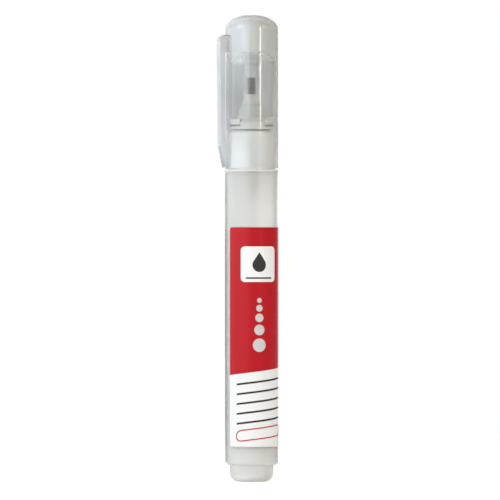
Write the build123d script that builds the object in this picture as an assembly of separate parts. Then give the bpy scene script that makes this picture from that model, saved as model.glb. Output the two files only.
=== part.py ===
from build123d import *
import math
import os

os.makedirs("parts", exist_ok=True)

# A correction pen standing on its tail: the axis is Z, the flat tail end is z = 0, the clip is on -X.
# All lengths are in millimetres and all angles in degrees.

# Clearances between neighbouring pieces
press_clearance = 0.03
slide_clearance = 0.05
valve_clearance = 0.06
seal_clearance = 0.12
fluid_clearance = 0.05

# Barrel, a frosted squeeze tube with a neck
barrel_diameter = 15.0
barrel_wall = 1.1
barrel_length = 83.4
barrel_tail_rounding = 1.0
barrel_rim_rounding = 0.4
barrel_shoulder = 1.0
neck_wall = 1.1

# End plug that closes the tail and is the foot of the pen
plug_head_diameter = 12.3
plug_head_height = 4.7
plug_foot_rounding = 2.4
plug_depth = 3.7
plug_dish = 1.0

# Printed label wrapped round the barrel, open under the clip
label_film = 0.1
label_glue = 0.02
label_length = 61.9
label_margin = 5.2
label_bare_angle = 44.0
label_corner = 0.8

# Correction fluid and the steel ball that stirs it
air_space = 9.5
ball_diameter = 5.0
ball_headroom = 0.4

# Collar, the white ring that snaps over the neck and carries the nozzle
collar_height = 11.1
collar_wall = 1.0
collar_web = 3.2
collar_rounding = 1.8

# Nozzle, with a snap flange, two tapering stages and a valve housing
flange_height = 2.15
flange_gap = 0.5
foot_height = 0.25
foot_inset = 1.2
lug_count = 3
lug_angle = 55.0
lug_heading = 198.5
lug_gap = 0.2
lug_height = 1.6
lug_depth = 1.1
lug_slit = 0.55
lug_overhang = 0.7
lug_rounding = 0.5
lower_stage_height = 4.7
lower_stage_base = 4.2
lower_stage_top = 2.6
lower_stage_sag = 0.35
upper_stage_height = 3.0
upper_stage_step = 0.25
upper_stage_taper = 0.8
upper_stage_rounding = 0.35
boss_wall = 1.0
housing_bore = 1.9
housing_wall = 0.7
housing_drop = 6.1

# Metal tip and the spring valve behind it
pin_radius = 0.24
rod_radius = 0.5
tip_bore_gap = 0.15
tip_wall = 0.4
tip_shank = 4.4
tip_cone = 2.7
tip_nose = 2.0
tip_nose_wall = 0.22
tip_seat_length = 1.6
tip_flange_height = 0.8
tip_flange_step = 0.5
pin_reach = 0.45
needle_collar_height = 0.7
needle_collar_drop = 0.4
needle_guide = 3.0
spring_wire = 0.25
spring_turns = 10
spring_side_gap = 0.3
retainer_depth = 4.5
retainer_flange = 0.8
retainer_bore_gap = 0.12
flow_hole_count = 4
flow_hole_radius = 0.35

# Cap: a clear shell with its clip, an inner cap and a soft seal for the tip
cap_step = 0.05
cap_wall = 0.75
cap_mouth_gap = 0.25
cap_mouth_rounding = 0.2
cap_headroom = 9.45
cap_top = 0.75
cap_dome = 4.1
cap_inner_dome = 3.35
crown_cut = 0.2
liner_wall = 0.6
liner_taper = 0.35
liner_mouth_gap = 0.6
liner_dome = 3.2
seal_radius = 2.15
seal_roof = 2.5
seal_cover = 4.4
socket_wall = 0.7
socket_depth = 4.0

# Pocket clip, moulded in one piece with the clear cap
clip_width = 4.8
clip_gap = 0.85
clip_thickness = 1.45
clip_lean = 0.35
clip_root_drop = 5.5
clip_root_height = 5.0
clip_root_rounding = 2.2
clip_inner_rounding = 0.6
clip_embed = 0.4
clip_nose_length = 5.9
clip_nose_gap = 0.2
clip_nose_thickness = 0.45
clip_nose_rise = 0.35
clip_bead_length = 9.5
clip_edge_rounding = 0.5

# Radii that follow from the sizes above
barrel_radius = barrel_diameter / 2
chamber_radius = barrel_radius - barrel_wall
cap_radius = barrel_radius - cap_step
cap_bore = cap_radius - cap_wall
collar_radius = cap_bore - slide_clearance
collar_bore = collar_radius - collar_wall
neck_radius = collar_bore - press_clearance
neck_bore = neck_radius - neck_wall
housing_radius = housing_bore + housing_wall
boss_radius = housing_radius + boss_wall
tip_bore = rod_radius + tip_bore_gap
tip_radius = tip_bore + tip_wall
orifice_radius = pin_radius + valve_clearance
nose_radius = orifice_radius + tip_nose_wall
spring_radius = housing_bore - spring_side_gap - spring_wire / 2
retainer_bore = rod_radius + retainer_bore_gap
ball_radius = ball_diameter / 2
liner_radius = cap_bore - slide_clearance

# Heights along the axis that follow from the sizes above
barrel_bottom = plug_head_height
barrel_top = barrel_bottom + barrel_length
plug_top = barrel_bottom + plug_depth
collar_top = barrel_top + collar_height
web_bottom = collar_top - collar_web
flange_bottom = collar_top + foot_height
flange_top = flange_bottom + flange_height
lower_stage_end = flange_top + lower_stage_height
nozzle_top = lower_stage_end + upper_stage_height
housing_bottom = barrel_top - housing_drop
shank_top = nozzle_top + tip_shank
nose_bottom = shank_top + tip_cone
nose_top = nose_bottom + tip_nose
pin_top = nose_top + pin_reach
liner_top = pin_top + seal_clearance + seal_roof
liner_bottom = flange_top + lug_overhang + liner_mouth_gap
cap_mouth = barrel_top + cap_mouth_gap
cap_ceiling = liner_top + cap_headroom
cap_end = cap_ceiling + cap_top
retainer_top = housing_bottom + retainer_depth
retainer_bottom = housing_bottom - retainer_flange
fluid_top = retainer_bottom - air_space
needle_collar_top = flange_top - tip_flange_height - needle_collar_drop
needle_collar_bottom = needle_collar_top - needle_collar_height
dish_slope = math.atan2(plug_dish, chamber_radius - press_clearance)
ball_rest = plug_top - plug_dish + (ball_radius + fluid_clearance) / math.cos(dish_slope)


def outline(*corners):
    """Face inside corners given as (radius, height), with an optional third value that rounds one."""
    points = [Vector(*corner[:2]) for corner in corners]
    starts, ends, edges = [], [], []
    for index, corner in enumerate(corners):
        here = points[index]
        back = (points[index - 1] - here).normalized()
        onward = (points[(index + 1) % len(points)] - here).normalized()
        rounding = corner[2] if len(corner) > 2 else 0.0
        half_angle = math.radians(back.get_angle(onward)) / 2
        reach = rounding / math.tan(half_angle)
        starts.append(here + back * reach)
        ends.append(here + onward * reach)
        if rounding > 0:
            bulge = rounding / math.sin(half_angle) - rounding
            middle = here + (back + onward).normalized() * bulge
            edges.append(ThreePointArc(starts[-1], middle, ends[-1]))
    for index, start in enumerate(ends):
        edges.append(Line(start, starts[(index + 1) % len(starts)]))
    return make_face(edges)


def turned(face, sweep_angle=360.0):
    """Solid swept by a face of (radius, height) about the axis of the pen, starting on +X."""
    return revolve(Plane.XZ * face, Axis.Z, revolution_arc=sweep_angle)


def domed(mouth, radius, bottom, top, dome):
    """Solid of revolution, its wall running from mouth to radius under an elliptical dome cut flat on top."""
    base = top + crown_cut - dome
    arc = math.degrees(math.asin((top - base) / dome))
    crown = radius * math.cos(math.radians(arc))
    wall = Polyline((crown, top), (0, top), (0, bottom), (mouth, bottom), (radius, base))
    roof = EllipticalCenterArc((0, base), radius, dome, start_angle=0, arc_size=arc)
    return turned(make_face([*wall.edges(), roof]))


def disc(radius, bottom, top):
    """Plain round solid between two heights."""
    return turned(outline((0, bottom), (radius, bottom), (radius, top), (0, top)))


def make_barrel():
    """Frosted tube with a shoulder and a thinner neck that the collar snaps over."""
    neck_top = web_bottom - press_clearance
    shoulder_inside = barrel_top - barrel_shoulder
    return turned(outline(
        (chamber_radius, barrel_bottom),
        (barrel_radius, barrel_bottom, min(barrel_tail_rounding, 0.95 * barrel_wall)),
        (barrel_radius, barrel_top, barrel_rim_rounding),
        (neck_radius, barrel_top),
        (neck_radius, neck_top),
        (neck_bore, neck_top),
        (neck_bore, shoulder_inside),
        (chamber_radius, shoulder_inside),
    ))


def make_end_plug():
    """Tail plug with a rounded foot outside and a dished shank inside the barrel."""
    head_radius = plug_head_diameter / 2
    shank_radius = chamber_radius - press_clearance
    return turned(outline(
        (0, 0),
        (head_radius, 0, plug_foot_rounding),
        (head_radius, barrel_bottom),
        (shank_radius, barrel_bottom),
        (shank_radius, plug_top),
        (0, plug_top - plug_dish),
    ))


def make_label():
    """Thin film round the barrel that leaves a bare strip below the clip."""
    inner = barrel_radius + label_glue
    bottom = barrel_bottom + label_margin
    film = turned(
        outline((inner, bottom), (inner + label_film, bottom),
                (inner + label_film, bottom + label_length), (inner, bottom + label_length)),
        360.0 - label_bare_angle,
    )
    corner_edges = film.edges().filter_by(lambda edge: abs(edge.length - label_film) < label_film / 2)
    return Rot(0, 0, 180.0 + label_bare_angle / 2) * fillet(corner_edges, label_corner)


def make_fluid():
    """Charge of fluid on the dished plug, with room for the ball at its bottom."""
    radius = chamber_radius - fluid_clearance
    charge = turned(outline(
        (0, plug_top - plug_dish + fluid_clearance),
        (radius, plug_top + fluid_clearance),
        (radius, fluid_top),
        (0, fluid_top),
    ))
    return charge - Pos(0, 0, ball_rest) * Sphere(ball_radius + 2 * fluid_clearance)


def make_ball():
    """Loose steel ball at rest in the dish of the plug."""
    return Pos(0, 0, ball_rest) * Sphere(ball_radius)


def make_collar():
    """White ring with a web on top, bored for the boss of the nozzle."""
    hole = boss_radius + press_clearance
    return turned(outline(
        (collar_bore, barrel_top),
        (collar_radius, barrel_top),
        (collar_radius, collar_top, collar_rounding),
        (hole, collar_top),
        (hole, web_bottom),
        (collar_bore, web_bottom),
    ))


def make_lug_ring():
    """Snap lugs spread round the flange and the slits that lie under them."""
    outside = cap_bore - lug_gap
    top = flange_top + lug_overhang
    bottom = top - lug_height
    lug = turned(outline(
        (outside - lug_depth, bottom),
        (outside, bottom, lug_rounding / 2),
        (outside, top, lug_rounding),
        (outside - lug_depth, top, lug_rounding),
    ), lug_angle)
    slit = turned(outline(
        (outside - lug_depth, bottom - lug_slit),
        (cap_bore, bottom - lug_slit),
        (cap_bore, bottom),
        (outside - lug_depth, bottom),
    ), lug_angle)
    headings = [lug_heading - lug_angle / 2 + 360.0 / lug_count * index for index in range(lug_count)]
    lugs = [Rot(0, 0, heading) * lug for heading in headings]
    slits = [Rot(0, 0, heading) * slit for heading in headings]
    return lugs, slits


def make_nozzle():
    """Natural plastic nozzle: housing, boss, snap flange, curved lower stage and tapered upper stage."""
    flange_radius = cap_bore - flange_gap
    upper_base = lower_stage_top + upper_stage_step
    lower = turned(make_face([
        *Polyline((lower_stage_top, lower_stage_end), (0, lower_stage_end), (0, flange_top),
                  (lower_stage_base, flange_top)).edges(),
        SagittaArc((lower_stage_base, flange_top), (lower_stage_top, lower_stage_end), -lower_stage_sag),
    ]))
    upper = turned(outline(
        (0, lower_stage_end),
        (upper_base, lower_stage_end, upper_stage_rounding / 2),
        (upper_base - upper_stage_taper, nozzle_top, upper_stage_rounding),
        (0, nozzle_top),
    ))
    body = disc(housing_radius, housing_bottom, collar_top)
    body += disc(boss_radius, web_bottom, flange_bottom)
    body += disc(flange_radius - foot_inset, collar_top, flange_bottom)
    body += disc(flange_radius, flange_bottom, flange_top)
    body += lower + upper
    lugs, slits = make_lug_ring()
    body = body - slits + lugs
    body -= disc(housing_bore, housing_bottom, flange_top)
    return body - disc(tip_radius + press_clearance, flange_top, nozzle_top)


def make_metal_tip():
    """Drawn metal tube with a flange inside the nozzle, a shank, a cone and a fine nose."""
    seat_bottom = nose_bottom - tip_seat_length
    return turned(outline(
        (tip_bore, flange_top - tip_flange_height),
        (tip_radius + tip_flange_step, flange_top - tip_flange_height),
        (tip_radius + tip_flange_step, flange_top),
        (tip_radius, flange_top),
        (tip_radius, shank_top),
        (nose_radius, nose_bottom),
        (nose_radius, nose_top),
        (orifice_radius, nose_top),
        (orifice_radius, nose_bottom),
        (tip_bore, seat_bottom),
    ))


def make_valve_needle():
    """Needle whose pin stands out of the tip, with a sealing cone and a collar that the spring lifts."""
    seat_slope = (tip_bore - orifice_radius) / tip_seat_length
    cone_top = nose_bottom
    cone_bottom = cone_top - (rod_radius - pin_radius) / seat_slope
    collar = housing_bore - spring_side_gap
    return turned(outline(
        (0, retainer_top - needle_guide),
        (rod_radius, retainer_top - needle_guide),
        (rod_radius, needle_collar_bottom),
        (collar, needle_collar_bottom),
        (collar, needle_collar_top),
        (rod_radius, needle_collar_top),
        (rod_radius, cone_bottom),
        (pin_radius, cone_top),
        (pin_radius, pin_top),
        (0, pin_top),
    ))


def make_spring_retainer():
    """Plug in the bottom of the housing with a guide bore and flow holes round it."""
    plug_radius = housing_bore - press_clearance
    flow_circle = (retainer_bore + plug_radius) / 2
    plug = disc(plug_radius, housing_bottom, retainer_top)
    plug += disc(housing_radius, retainer_bottom, housing_bottom)
    plug -= disc(retainer_bore, retainer_bottom, retainer_top)
    length = retainer_top - retainer_bottom
    flow_hole = Pos(flow_circle, 0, retainer_bottom + length / 2) * Cylinder(flow_hole_radius, length)
    return plug - [Rot(0, 0, 360.0 / flow_hole_count * index) * flow_hole for index in range(flow_hole_count)]


def make_valve_spring():
    """Compression spring between the retainer and the collar of the needle."""
    bottom = retainer_top + spring_wire / 2 + press_clearance
    top = needle_collar_bottom - spring_wire / 2 - press_clearance
    path = Pos(0, 0, bottom) * Helix((top - bottom) / spring_turns, top - bottom, spring_radius)
    print("valve spring, least gap between turns:", round(least_gap(path), 3), "mm")
    return sweep((path ^ 0) * Circle(spring_wire / 2), path=path, is_frenet=True)


def least_gap(path):
    """Clear distance between the wire and itself, measured on points more than half a turn apart."""
    points_per_turn = 24
    count = spring_turns * points_per_turn
    points = [path @ (index / count) for index in range(count + 1)]
    apart = points_per_turn // 2
    distances = [(points[index] - other).length
                 for index in range(count + 1) for other in points[index + apart:]]
    return min(distances) - spring_wire


def make_clip():
    """Clip with a rounded root, a leaning arm and a bevelled nose that bends back to the cap."""
    inner = cap_radius + clip_gap
    outer = inner + clip_thickness
    embedded = cap_radius - clip_embed
    root_top = cap_end - clip_root_drop
    root_bottom = root_top - clip_root_height
    tip = cap_mouth + clip_nose_rise
    bead = cap_radius + clip_nose_gap
    side = outline(
        (embedded, root_top),
        (outer, root_top, clip_root_rounding),
        (outer - clip_lean, tip + clip_nose_length, clip_nose_length / 4),
        (bead + clip_nose_thickness, tip),
        (bead, tip),
        (bead, tip + clip_nose_length),
        (inner, tip + clip_bead_length),
        (inner, root_bottom, clip_inner_rounding),
        (embedded, root_bottom),
    )
    side_plane = Plane(origin=(0, 0, 0), x_dir=(-1, 0, 0), z_dir=(0, 1, 0))
    arm = extrude(side_plane * side, clip_width / 2, both=True)
    long_edges = [edge for edge in arm.edges()
                  if edge.center().X < -inner and abs(abs(edge.center().Y) - clip_width / 2) < 0.01]
    return fillet(long_edges, clip_edge_rounding)


def make_outer_cap():
    """Clear shell with a domed end, and the clip on its side."""
    shell = domed(cap_radius, cap_radius, cap_mouth, cap_end, cap_dome)
    shell -= domed(cap_bore, cap_bore, cap_mouth, cap_ceiling, cap_inner_dome)
    shell = fillet(shell.edges().group_by(Axis.Z)[0], cap_mouth_rounding)
    return shell + make_clip()


def make_inner_cap():
    """Thin domed liner inside the cap, with a socket that holds the tip seal."""
    inside = liner_radius - liner_wall
    skin = domed(liner_radius - liner_taper, liner_radius, liner_bottom, liner_top, liner_dome)
    hollow = domed(inside - liner_taper, inside, liner_bottom, liner_top - liner_wall, liner_dome)
    socket_radius = seal_radius + press_clearance
    socket = disc(socket_radius + socket_wall, liner_top - socket_depth, liner_top)
    liner = skin - hollow + (socket & skin)
    return liner - disc(socket_radius, liner_bottom, liner_top)


def make_tip_seal():
    """Soft plug whose tapered pocket closes over the nose of the metal tip."""
    bottom = nose_top - seal_cover
    slope = (tip_radius - nose_radius) / tip_cone
    mouth = tip_radius - slope * (bottom - shank_top) + seal_clearance
    pocket = nose_radius + seal_clearance
    return turned(outline(
        (mouth, bottom),
        (seal_radius, bottom),
        (seal_radius, liner_top),
        (0, liner_top),
        (0, pin_top + seal_clearance),
        (pocket, pin_top + seal_clearance),
        (pocket, nose_bottom),
    ))


makers = {
    "barrel": make_barrel,
    "end_plug": make_end_plug,
    "label": make_label,
    "correction_fluid": make_fluid,
    "mixing_ball": make_ball,
    "collar": make_collar,
    "nozzle": make_nozzle,
    "metal_tip": make_metal_tip,
    "valve_needle": make_valve_needle,
    "valve_spring": make_valve_spring,
    "spring_retainer": make_spring_retainer,
    "outer_cap": make_outer_cap,
    "inner_cap": make_inner_cap,
    "tip_seal": make_tip_seal,
}

for name, maker in makers.items():
    export_step(maker(), f"parts/{name}.step")

print("overall length:", round(cap_end, 2), "mm")
print("fluid:", round(make_fluid().volume / 1000, 2), "ml, up to", round(fluid_top, 2), "mm")
print("ball travel:", round(retainer_bottom - ball_headroom - ball_radius - ball_rest, 2), "mm")
print("valve travel:", pin_reach, "mm")
print("cap clears the tip after:", round(pin_top - cap_mouth, 2), "mm")
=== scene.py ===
"""Looks of a correction pen: frosted squeeze barrel, printed label, valve nozzle and clear cap with a clip.

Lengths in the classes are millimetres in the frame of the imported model: the pen stands on z = 0, its axis is
Z and its clip is on -X. A heading is an angle round the axis, in degrees from +X towards +Y.
"""
import logging
import math
from collections.abc import Sequence
from dataclasses import dataclass, replace
from enum import Enum
from typing import Any

import bmesh
import bpy
import numpy as np
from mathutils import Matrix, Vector
from numpy.typing import NDArray


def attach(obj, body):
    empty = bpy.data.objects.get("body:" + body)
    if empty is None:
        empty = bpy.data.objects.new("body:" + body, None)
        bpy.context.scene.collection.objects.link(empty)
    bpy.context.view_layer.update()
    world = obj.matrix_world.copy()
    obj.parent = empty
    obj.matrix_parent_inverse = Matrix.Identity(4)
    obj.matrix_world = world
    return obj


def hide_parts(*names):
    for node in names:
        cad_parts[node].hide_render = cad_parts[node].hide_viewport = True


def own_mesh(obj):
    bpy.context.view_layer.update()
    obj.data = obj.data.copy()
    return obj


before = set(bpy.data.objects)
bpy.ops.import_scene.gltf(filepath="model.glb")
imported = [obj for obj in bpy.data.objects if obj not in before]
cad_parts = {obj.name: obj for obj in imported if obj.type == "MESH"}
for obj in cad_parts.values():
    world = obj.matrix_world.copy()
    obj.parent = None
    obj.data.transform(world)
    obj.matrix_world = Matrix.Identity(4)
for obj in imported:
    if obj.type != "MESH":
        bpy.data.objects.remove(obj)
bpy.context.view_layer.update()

MM = 0.001
TURN = 2.0 * math.pi
# Steps round the axis: of the outer pieces, of the small ones and of the needle.
ROUND = 192
SMALL_ROUND = 96
NEEDLE_ROUND = 64
# Points on a rounding, on a longer curve and on a dome.
ARC_POINTS = 10
CURVE_POINTS = 16
DOME_POINTS = 28
# Distance in metres under which two points are one, and angle in degrees above which an edge is sharp.
WELD = 1e-7
CREASE = 32.0
# Values between which most of a noise texture lies.
NOISE_RANGE = (0.3, 0.7)
Grid = NDArray[np.float64]
log = logging.getLogger("correction_pen")


class Body(Enum):
    """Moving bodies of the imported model."""

    PEN = "pen"
    CAP = "cap"
    VALVE = "valve"
    BALL = "ball"


class Slot(Enum):
    """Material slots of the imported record."""

    BARREL = "frosted_barrel"
    LABEL = "printed_film"
    FLUID = "white_fluid"
    BALL = "ball_steel"
    COLLAR = "white_collar"
    NOZZLE = "natural_nozzle"
    TIP = "tip_metal"
    SPRING = "spring_steel"
    CAP = "clear_cap"
    LINER = "natural_liner"
    SEAL = "seal_rubber"


def linear(code: str) -> tuple[float, float, float, float]:
    """Linear RGBA of an sRGB colour.

    Args:
        code: Six hex digits.

    Returns:
        Red, green and blue through the sRGB curve, and an alpha of 1.
    """
    levels = [int(code[place:place + 2], 16) / 255 for place in (0, 2, 4)]
    red, green, blue = (v / 12.92 if v <= 0.04045 else ((v + 0.055) / 1.055) ** 2.4 for v in levels)
    return red, green, blue, 1.0


def per_mm(size: float) -> float:
    """Scale of a noise texture whose features are about this many millimetres wide."""
    return 1.0 / (size * MM)


def empty_tree(owner: bpy.types.Material | bpy.types.World) -> bpy.types.NodeTree:
    """Node tree of a material or a world, emptied.

    Args:
        owner: Material or world.

    Returns:
        Its node tree, with no node left.
    """
    owner.use_nodes = True
    owner.node_tree.nodes.clear()
    return owner.node_tree


def add_node(tree: bpy.types.NodeTree, kind: str, inputs: dict[str | int, Any] | None = None,
             **settings: Any) -> bpy.types.Node:
    """Adds one node, sets its properties, and fills or links its inputs.

    Args:
        tree: Node tree that gets the node.
        kind: Blender's name for this type of node.
        inputs: For each input, by name or place, a value or the output socket to link.
        settings: Properties of the node itself.

    Returns:
        The new node.
    """
    node = tree.nodes.new(kind)
    for key, value in settings.items():
        setattr(node, key, value)
    for key, value in (inputs or {}).items():
        if isinstance(value, bpy.types.NodeSocket):
            tree.links.new(value, node.inputs[key])
        else:
            node.inputs[key].default_value = value
    return node


@dataclass(frozen=True)
class Finish:
    """A material that is built as one node tree."""

    name: str

    def material(self) -> bpy.types.Material:
        """Material of this name, built on first use.

        Returns:
            The material.
        """
        if self.name in bpy.data.materials:
            return bpy.data.materials[self.name]
        made = bpy.data.materials.new(self.name)
        tree = empty_tree(made)
        shader = self.dress(tree)
        add_node(tree, "ShaderNodeOutputMaterial", {"Surface": shader.outputs[0]})
        return made

    def dress(self, tree: bpy.types.NodeTree) -> bpy.types.Node:
        """Builds the nodes of the finish.

        Args:
            tree: Empty node tree of the material.

        Returns:
            The node whose first output is the surface.
        """
        raise NotImplementedError


@dataclass(frozen=True)
class MouldedPlastic(Finish):
    """Moulded plastic: cloudy colour between two tones, uneven polish and the grain of its mould."""

    tone: str
    cloud: str
    cloud_size: float
    polish: tuple[float, float]
    grain_size: float
    grain_depth: float
    transmission: float = 0.0
    ior: float = 1.5
    subsurface: float = 0.0
    subsurface_radius: float = 1.0
    bleed: tuple[float, float, float] = (1.0, 0.9, 0.8)
    specular: float = 0.5

    def dress(self, tree: bpy.types.NodeTree) -> bpy.types.Node:
        """Clouds the colour with broad noise, and varies the polish and grains the surface with fine noise.

        Args:
            tree: Empty node tree of the material.

        Returns:
            The surface shader.
        """
        place = add_node(tree, "ShaderNodeTexCoord").outputs["Object"]
        broad = add_node(tree, "ShaderNodeTexNoise", {
            "Vector": place, "Scale": per_mm(self.cloud_size), "Detail": 3.0, "Roughness": 0.55})
        colour = add_node(tree, "ShaderNodeMix", {
            0: broad.outputs["Fac"], 6: linear(self.tone), 7: linear(self.cloud)}, data_type="RGBA")
        fine = add_node(tree, "ShaderNodeTexNoise", {
            "Vector": place, "Scale": per_mm(self.grain_size), "Detail": 2.0})
        polish = add_node(tree, "ShaderNodeMapRange", {
            "Value": fine.outputs["Fac"], "From Min": NOISE_RANGE[0], "From Max": NOISE_RANGE[1],
            "To Min": self.polish[0], "To Max": self.polish[1]})
        grain = add_node(tree, "ShaderNodeBump", {
            "Height": fine.outputs["Fac"], "Distance": self.grain_depth * MM, "Strength": 1.0})
        return add_node(tree, "ShaderNodeBsdfPrincipled", {
            "Base Color": colour.outputs[2], "Roughness": polish.outputs[0], "Normal": grain.outputs[0],
            "IOR": self.ior, "Transmission Weight": self.transmission, "Specular IOR Level": self.specular,
            "Subsurface Weight": self.subsurface, "Subsurface Scale": self.subsurface_radius * MM,
            "Subsurface Radius": self.bleed})


@dataclass(frozen=True)
class TurnedMetal(Finish):
    """Bare metal with fine marks that run round the axis."""

    tone: str
    shade: str
    polish: tuple[float, float]
    mark_size: float
    mark_depth: float

    def dress(self, tree: bpy.types.NodeTree) -> bpy.types.Node:
        """Varies colour, polish and height along the axis alone, so that each mark is a ring.

        Args:
            tree: Empty node tree of the material.

        Returns:
            The surface shader.
        """
        place = add_node(tree, "ShaderNodeTexCoord").outputs["Object"]
        height = add_node(tree, "ShaderNodeSeparateXYZ", {0: place}).outputs["Z"]
        marks = add_node(tree, "ShaderNodeTexNoise", {
            "W": height, "Scale": per_mm(self.mark_size), "Detail": 3.0}, noise_dimensions="1D")
        colour = add_node(tree, "ShaderNodeMix", {
            0: marks.outputs["Fac"], 6: linear(self.tone), 7: linear(self.shade)}, data_type="RGBA")
        polish = add_node(tree, "ShaderNodeMapRange", {
            "Value": marks.outputs["Fac"], "To Min": self.polish[0], "To Max": self.polish[1]})
        ridges = add_node(tree, "ShaderNodeBump", {
            "Height": marks.outputs["Fac"], "Distance": self.mark_depth * MM, "Strength": 1.0})
        return add_node(tree, "ShaderNodeBsdfPrincipled", {
            "Base Color": colour.outputs[2], "Metallic": 1.0, "Roughness": polish.outputs[0],
            "Normal": ridges.outputs[0]})


@dataclass(frozen=True)
class PrintedFilm(Finish):
    """Glossy white film printed with flat inks, each shown where its own distance attribute is negative."""

    paper: str
    inks: tuple[tuple[str, str], ...]
    edge: float
    least_ink: float
    polish: tuple[float, float]
    mottle_size: float
    wrinkle_size: float
    wrinkle_depth: float
    ior: float = 1.5
    specular: float = 0.2

    def dress(self, tree: bpy.types.NodeTree) -> bpy.types.Node:
        """Lays the inks over each other in order, mottles them and gives the film soft unevenness.

        Args:
            tree: Empty node tree of the material.

        Returns:
            The surface shader.
        """
        place = add_node(tree, "ShaderNodeTexCoord").outputs["Object"]
        mottle = add_node(tree, "ShaderNodeTexNoise", {
            "Vector": place, "Scale": per_mm(self.mottle_size), "Detail": 3.0})
        strength = add_node(tree, "ShaderNodeMapRange", {
            "Value": mottle.outputs["Fac"], "To Min": self.least_ink, "To Max": 1.0})
        colour: Any = linear(self.paper)
        for attribute, ink in self.inks:
            distance = add_node(tree, "ShaderNodeAttribute", attribute_name=attribute)
            cover = add_node(tree, "ShaderNodeMapRange", {
                "Value": distance.outputs["Fac"], "From Min": self.edge, "From Max": -self.edge})
            dose = add_node(tree, "ShaderNodeMath", {
                0: cover.outputs[0], 1: strength.outputs[0]}, operation="MULTIPLY")
            colour = add_node(tree, "ShaderNodeMix", {
                0: dose.outputs[0], 6: colour, 7: linear(ink)}, data_type="RGBA").outputs[2]
        polish = add_node(tree, "ShaderNodeMapRange", {
            "Value": mottle.outputs["Fac"], "To Min": self.polish[0], "To Max": self.polish[1]})
        wrinkles = add_node(tree, "ShaderNodeTexNoise", {
            "Vector": place, "Scale": per_mm(self.wrinkle_size), "Detail": 1.0})
        relief = add_node(tree, "ShaderNodeBump", {
            "Height": wrinkles.outputs["Fac"], "Distance": self.wrinkle_depth * MM, "Strength": 1.0})
        return add_node(tree, "ShaderNodeBsdfPrincipled", {
            "Base Color": colour, "Roughness": polish.outputs[0], "Normal": relief.outputs[0],
            "IOR": self.ior, "Specular IOR Level": self.specular})


# The grit of a mould, about 0.05 mm, and the marks of a tool, about 0.03 mm, are too fine to show in the
# render, so grain and marks are drawn coarser.

# Spark-eroded mould: milky, blurs what is inside and glows with the light behind it.
FROSTED_POLYPROPYLENE = MouldedPlastic(
    "frosted_polypropylene_eroded", "efefed", "ebebe8", cloud_size=9.0, polish=(0.2, 0.26),
    grain_size=0.8, grain_depth=0.002, transmission=0.68, ior=1.49)
# Same plastic in the rim and in the plug's shank, which are backed by more of it and look whiter.
THICK_POLYPROPYLENE = replace(
    FROSTED_POLYPROPYLENE, name="frosted_polypropylene_thick", tone="fdfdfb", cloud="f9f9f6",
    transmission=0.2)
# Foot of the plug, which stands free, so that light from behind shows in it.
FOOT_POLYPROPYLENE = replace(
    FROSTED_POLYPROPYLENE, name="frosted_polypropylene_foot", tone="f6f6f3", cloud="f2f2ee",
    transmission=0.4)
# Clear moulding: glassy with a faint grey body, darker where the eye looks along a wall.
CLEAR_POLYSTYRENE = MouldedPlastic(
    "clear_polystyrene_polished", "f8f9f9", "f4f5f5", cloud_size=14.0, polish=(0.03, 0.08),
    grain_size=7.0, grain_depth=0.006, transmission=0.99, ior=1.57)
# Same moulding on the core side of the mould, which has only a satin finish and softens what is inside.
CORE_POLYSTYRENE = replace(CLEAR_POLYSTYRENE, name="clear_polystyrene_satin", polish=(0.16, 0.22))
# Same moulding on the clip, where fine grain in the mould blurs what shows through it. Its greyer tone is
# painted shade of the gap between clip and shell.
GRAINED_SHADED_POLYSTYRENE = replace(
    CLEAR_POLYSTYRENE, name="clear_polystyrene_grained_painted_shade", tone="edeef0", cloud="e9eaec", polish=(0.28, 0.36),
    grain_size=0.8, grain_depth=0.002, transmission=0.92)
# Thin unpigmented liner: hazy, so the nozzle inside stays visible but soft.
NATURAL_LINER = MouldedPlastic(
    "natural_polypropylene_thin", "f4f5f4", "eeefee", cloud_size=6.0, polish=(0.08, 0.13),
    grain_size=2.5, grain_depth=0.004, transmission=0.975, ior=1.49)
# White ring with a satin skin that shows the roll-off of the light without a mirror image.
SATIN_POLYPROPYLENE = MouldedPlastic(
    "white_polypropylene_satin", "dcdddb", "d6d7d4", cloud_size=7.0, polish=(0.30, 0.40),
    grain_size=0.5, grain_depth=0.004, subsurface=0.25, subsurface_radius=1.2)
# Unpigmented nozzle: milky and soft at its edges, where light bleeds through.
NATURAL_NOZZLE = MouldedPlastic(
    "natural_polypropylene_thick", "d5d6d1", "cdcec8", cloud_size=5.0, polish=(0.28, 0.38),
    grain_size=0.6, grain_depth=0.004, transmission=0.1, ior=1.49, subsurface=0.3, subsurface_radius=1.5)
# Valve housing under the web and the spring retainer, painted darker grey as shade inside the barrel.
HOUSING_SHADE_POLYPROPYLENE = MouldedPlastic(
    "natural_polypropylene_painted_shade", "b6b7b3", "aaaba7", cloud_size=3.0, polish=(0.28, 0.38),
    grain_size=0.6, grain_depth=0.004)
# Cast elastomer: grey and matt, with almost no gloss.
SEAL_ELASTOMER = MouldedPlastic(
    "grey_elastomer_cast", "c9cbcd", "c0c3c5", cloud_size=2.5, polish=(0.55, 0.7),
    grain_size=0.4, grain_depth=0.006, specular=0.3)
# Pigmented solvent paint: dense white that hides what is under it.
CORRECTION_PAINT = MouldedPlastic(
    "white_pigment_fluid", "f2f2ee", "e9e9e4", cloud_size=10.0, polish=(0.25, 0.35),
    grain_size=3.0, grain_depth=0.01)
# Drawn nickel silver, dulled: dark beside its bright rims.
DRAWN_NICKEL = TurnedMetal(
    "nickel_silver_drawn", "524f4c", "413e3c", polish=(0.1, 0.16), mark_size=0.18, mark_depth=0.001)
# Hard-drawn spring wire: bright, with faint bands.
SPRING_WIRE = TurnedMetal(
    "spring_steel_drawn", "a9abad", "8b8d90", polish=(0.2, 0.3), mark_size=0.12, mark_depth=0.001)
# Lapped ball: mirror bright.
LAPPED_STEEL = TurnedMetal(
    "bearing_steel_lapped", "c4c6c8", "b5b7b9", polish=(0.06, 0.1), mark_size=0.3, mark_depth=0.0005)
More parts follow.
